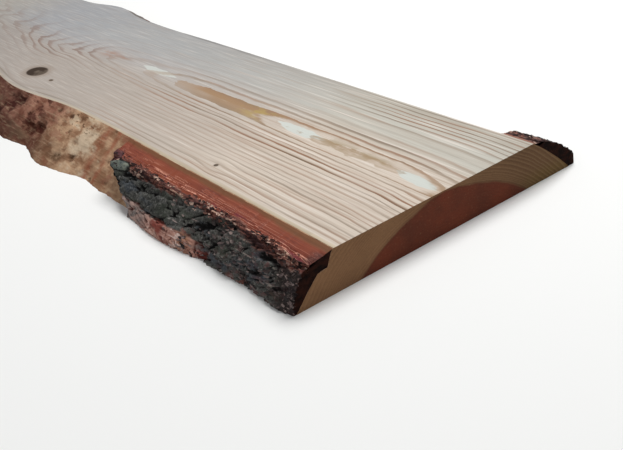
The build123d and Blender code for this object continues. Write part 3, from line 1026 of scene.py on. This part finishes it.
def flake_material():
    """Loose flakes of bark: dark brown, red-brown and a few bleached ones."""
    material, w = new_material("bark flakes")
    tone = w.stored("tone")
    grit = w.noise(w.object_place(), 330, 4, 0.65)
    base = w.mix(w.band(tone, 0.3, 0.5), (48, 34, 32), (96, 60, 52))
    base = w.mix(w.band(tone, 0.55, 0.7), base, (134, 88, 76))
    base = w.mix(w.band(tone, 0.74, 0.9), base, (188, 158, 142))
    crusty = w.mix(w.band(tone, 0.3, 0.9), (50, 47, 46), (128, 116, 114))
    base = w.mix(w.band(w.stored("around"), 1.1, 1.2, 0, 0.85), base, crusty)
    base = w.mix(w.band(grit, 0.5, 0.3, 0, 0.6), base, (40, 28, 26))
    finish_material(w, base, 0.85, grit, 0.4, 0.8, 0.2)
    return material


# Loose flakes: how many to the square metre where the bark is all flaking, and the smallest and the largest
FLAKES_PER_SQUARE_METRE = 90000.0
SMALLEST_FLAKE = (0.003, 0.0012, 0.0003)
LARGEST_FLAKE = (0.014, 0.0036, 0.0008)
# How far a flake tilts, how far its corners are out of true in shares of its size, and how many it has
FLAKE_TILT = (0.35, 0.18, 0.3)
FLAKE_RAGGED = (0.16, 0.2, 0.3)
FLAKE_CORNERS = 7


def flake_tree():
    """Geometry Nodes: thin flakes that lie along the bark wherever its surface is marked as flaking."""
    tree = bpy.data.node_groups.new("loose flakes", "GeometryNodeTree")
    sockets = {
        "Geometry": "NodeSocketGeometry",
        "Flakes to the square metre": "NodeSocketFloat",
        "Smallest": "NodeSocketVector",
        "Largest": "NodeSocketVector",
        "Seed": "NodeSocketInt",
        "Material": "NodeSocketMaterial",
    }
    for name, kind in sockets.items():
        tree.interface.new_socket(name, in_out="INPUT", socket_type=kind)
    tree.interface.new_socket("Geometry", in_out="OUTPUT", socket_type="NodeSocketGeometry")
    w = NodeWriter(tree)
    given = w.named("NodeGroupInput")

    def chance(low, high, salt):
        """A random vector between two, from the seed."""
        inputs = {0: low, 1: high, "Seed": given["Seed"] + salt}
        return w.value("FunctionNodeRandomValue", inputs, data_type="FLOAT_VECTOR")

    def either_way(reach, salt):
        """A random vector up to reach either way."""
        return chance([-part for part in reach], reach, salt)

    marked = w.value("GeometryNodeInputNamedAttribute", {"Name": "flaking"}, data_type="FLOAT")
    density = marked * given["Flakes to the square metre"]
    spread = w.named(
        "GeometryNodeDistributePointsOnFaces",
        {"Mesh": given["Geometry"], "Density": density, "Seed": given["Seed"]},
    )
    lying = w.value(
        "FunctionNodeAxesToRotation",
        {"Primary Axis": spread["Normal"], "Secondary Axis": (1.0, 0.0, 0.0)},
        primary_axis="Z",
        secondary_axis="X",
    )
    tilt = w.value("FunctionNodeEulerToRotation", {"Euler": either_way(FLAKE_TILT, 1)})
    turns = {"Rotation": lying, "Rotate By": tilt}
    turned = w.value("FunctionNodeRotateRotation", turns, rotation_space="LOCAL")
    disc = {"Vertices": FLAKE_CORNERS, "Radius": 0.5, "Depth": 1.0}
    plate = w.value("GeometryNodeMeshCylinder", disc, fill_type="TRIANGLE_FAN")
    ragged = w.value("GeometryNodeSetPosition", {"Geometry": plate, "Offset": either_way(FLAKE_RAGGED, 2)})
    placed = w.value(
        "GeometryNodeInstanceOnPoints",
        {
            "Points": spread["Points"],
            "Instance": ragged,
            "Rotation": turned,
            "Scale": chance(given["Smallest"], given["Largest"], 3),
        },
    )
    tone = w.named("ShaderNodeSeparateXYZ", {0: chance((0.0, 0.0, 0.0), (1.0, 1.0, 1.0), 4)})["X"]
    toned = w.value(
        "GeometryNodeStoreNamedAttribute",
        {"Geometry": placed, "Name": "tone", "Value": tone},
        data_type="FLOAT",
        domain="INSTANCE",
    )
    real = w.value("GeometryNodeRealizeInstances", {"Geometry": toned})
    painted = w.value("GeometryNodeSetMaterial", {"Geometry": real, "Material": given["Material"]})
    w.add("NodeGroupOutput", {"Geometry": painted})
    return tree


def scatter_flakes(name, bark, seed):
    """Loose flakes on one strip of bark, as a plain mesh."""
    made = add_object(name, bark.data.copy())
    scatter = made.modifiers.new("flakes", "NODES")
    scatter.node_group = loose_flakes
    values = {
        "Flakes to the square metre": FLAKES_PER_SQUARE_METRE,
        "Smallest": SMALLEST_FLAKE,
        "Largest": LARGEST_FLAKE,
        "Seed": seed,
        "Material": flake_skin,
    }
    for socket in loose_flakes.interface.items_tree:
        if socket.in_out == "INPUT" and socket.name in values:
            scatter[socket.identifier] = values[socket.name]
    mesh = bpy.data.meshes.new_from_object(made.evaluated_get(bpy.context.evaluated_depsgraph_get()))
    made.modifiers.clear()
    made.data = mesh
    low = (cad_box[0].x, cad_box[0].y, 0.0)
    high = (END_X - BARK_END_SET_BACK, cad_box[1].y, THICKNESS - BARK_END_SET_BACK)
    for vertex in mesh.vertices:
        vertex.co = [min(max(part, least), most) for part, least, most in zip(vertex.co, low, high)]
    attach(made, "root")


# Furrows that stand out: from one place along and down the crust to another, with half width and depth
NEAR_FURROWS = (
    (424, 18, 392, 27, 3.0, 4.0), (385, 13, 330, 8, 2.6, 3.5), (330, 8, 250, 5, 2.0, 2.5),
    (300, 41, 256, 38, 2.0, 2.5), (207, 26, 165, 15, 2.6, 3.0), (165, 15, 128, 5, 2.6, 3.0),
    (162, 42, 146, 27, 2.6, 3.0), (66, 12, 38, 15, 2.2, 3.0), (36, 41, 16, 35, 4.0, 3.0),
)
NEAR_BARK_TORN_TOP = 434.0
NEAR_BARK_TORN_BOTTOM = 344.0
NEAR_BARK_INNER_REACH = 22.0
NEAR_CELLS = (400, 18, 52)


def near_tear(height, depth_share):
    """Where the near bark is torn off: further along at the top, and the inner layers reach further."""
    reach = NEAR_BARK_TORN_TOP - NEAR_BARK_TORN_BOTTOM
    base = NEAR_BARK_TORN_BOTTOM + reach * float(smooth_step(height, 0.08, 0.92))
    rag = 4 * noise.fractal(Vector((height * 6, depth_share * 1.5, 4.0)), 1.0, 2.0, 4)
    return base + rag + NEAR_BARK_INNER_REACH * (1 - depth_share)


def near_crust(along, down):
    """Relief of the near bark: the crust, a raised smooth scale, and broad flat scales along the bottom."""
    relief = crust_relief(along, down, 2.0, 3.2, NEAR_FURROWS)
    run = along - SCALE_PLACE[0]
    drop = down - SCALE_PLACE[1] - SCALE_SLANT * run
    scale = np.exp(-((run / SCALE_HALF_SIZE[0]) ** 2) - (drop / SCALE_HALF_SIZE[1]) ** 2)
    relief = relief * (1 - 0.8 * smooth_step(scale, 0.3, 0.6)) + 1.8 * smooth_step(scale, 0.3, 0.8)
    low = smooth_step(down, 37, 43) * smooth_step(along, 170, 190)
    steps = 2.6 * fractal(along / 42, (down + 0.3 * along) / 15, 0 * along + 21, 2)
    within = 2 * (steps - np.floor(steps)) - 1
    scales = 2.4 - 5.0 * within**4
    return relief * (1 - 0.75 * low) + low * scales


bark_skin = bark_material()
bark_cut = bark_end_material()
flake_skin = flake_material()
loose_flakes = flake_tree()
BARK_SIDES = {
    "top": bark_skin,
    "near": bark_skin,
    "far": bark_skin,
    "underside": bark_skin,
    "other_end": bark_skin,
    "shown_end": bark_cut,
}
near_bark = bark_block(
    "near_bark", "near_edge_bark", -1, NEAR_CELLS, NEAR_BARK_TOP_SINK, near_tear, near_crust
)
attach(near_bark, "root")
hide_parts("near_edge_bark")
scatter_flakes("near_bark_flakes", near_bark, 5)


# Far edge bark
# A short stub of the same bark left on the far edge at the square-cut end.
FAR_BARK_TOP_SINK = 0.0031
FAR_BARK_TORN_TOP = 50.0
FAR_BARK_TORN_BOTTOM = 61.0
FAR_CELLS = (60, 12, 50)


def far_tear(height, depth_share):
    """Where the stub is torn off."""
    base = FAR_BARK_TORN_BOTTOM + (FAR_BARK_TORN_TOP - FAR_BARK_TORN_BOTTOM) * height
    return base + 3 * noise.fractal(Vector((height * 6, depth_share * 2, 9.0)), 1.0, 2.0, 3)


def far_crust(along, down):
    """Relief of the stub, gentler toward the sawn top."""
    crust = crust_relief(along, down, 31.0, 3.0, ())
    return 0.6 * smooth_step(down, 0, 16) * crust + smooth_step(down, 24, 44)


far_bark = bark_block(
    "far_bark", "far_edge_bark", 1, FAR_CELLS, FAR_BARK_TOP_SINK, far_tear, far_crust
)
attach(far_bark, "root")
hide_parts("far_edge_bark")
scatter_flakes("far_bark_flakes", far_bark, 8)


# Floor and lights
# A plain pale studio floor, a broad soft lamp high behind the far edge and a weak fill.
FLOOR_SIZE = 14.0
floor_mesh = bpy.data.meshes.new("floor")
half = FLOOR_SIZE / 2
floor_corners = [(-half, -half, 0), (half, -half, 0), (half, half, 0), (-half, half, 0)]
floor_mesh.from_pydata(floor_corners, [], [(0, 1, 2, 3)])
floor = add_object("floor", floor_mesh)
floor_paint, w = new_material("floor paint")
paint = w.value("ShaderNodeBsdfPrincipled", {"Base Color": (236, 236, 234), "Roughness": 0.9})
w.add("ShaderNodeOutputMaterial", {"Surface": paint})
floor_mesh.materials.append(floor_paint)


def soft_lamp(name, at, aim, size, power):
    """A square area lamp that points from one place to another."""
    light = bpy.data.lights.new(name, "AREA")
    light.size = size
    light.energy = power
    lamp = add_object(name, light)
    turned = (Vector(aim) - Vector(at)).to_track_quat("-Z", "Y").to_matrix().to_4x4()
    lamp.matrix_world = Matrix.Translation(Vector(at)) @ turned


soft_lamp("key", (0.3, 1.7, 3.1), (0.6, 0.0, 0.0), 2.0, 140)
soft_lamp("fill", (1.5, -3.0, 2.4), (0.5, 0.0, 0.0), 2.5, 18)

world = bpy.data.worlds.new("studio")
world.use_nodes = True
sky = world.node_tree.nodes["Background"]
sky.inputs["Color"].default_value = (0.95, 0.97, 1.0, 1.0)
sky.inputs["Strength"].default_value = 0.25
bpy.context.scene.world = world
bpy.context.scene.view_settings.view_transform = "Standard"
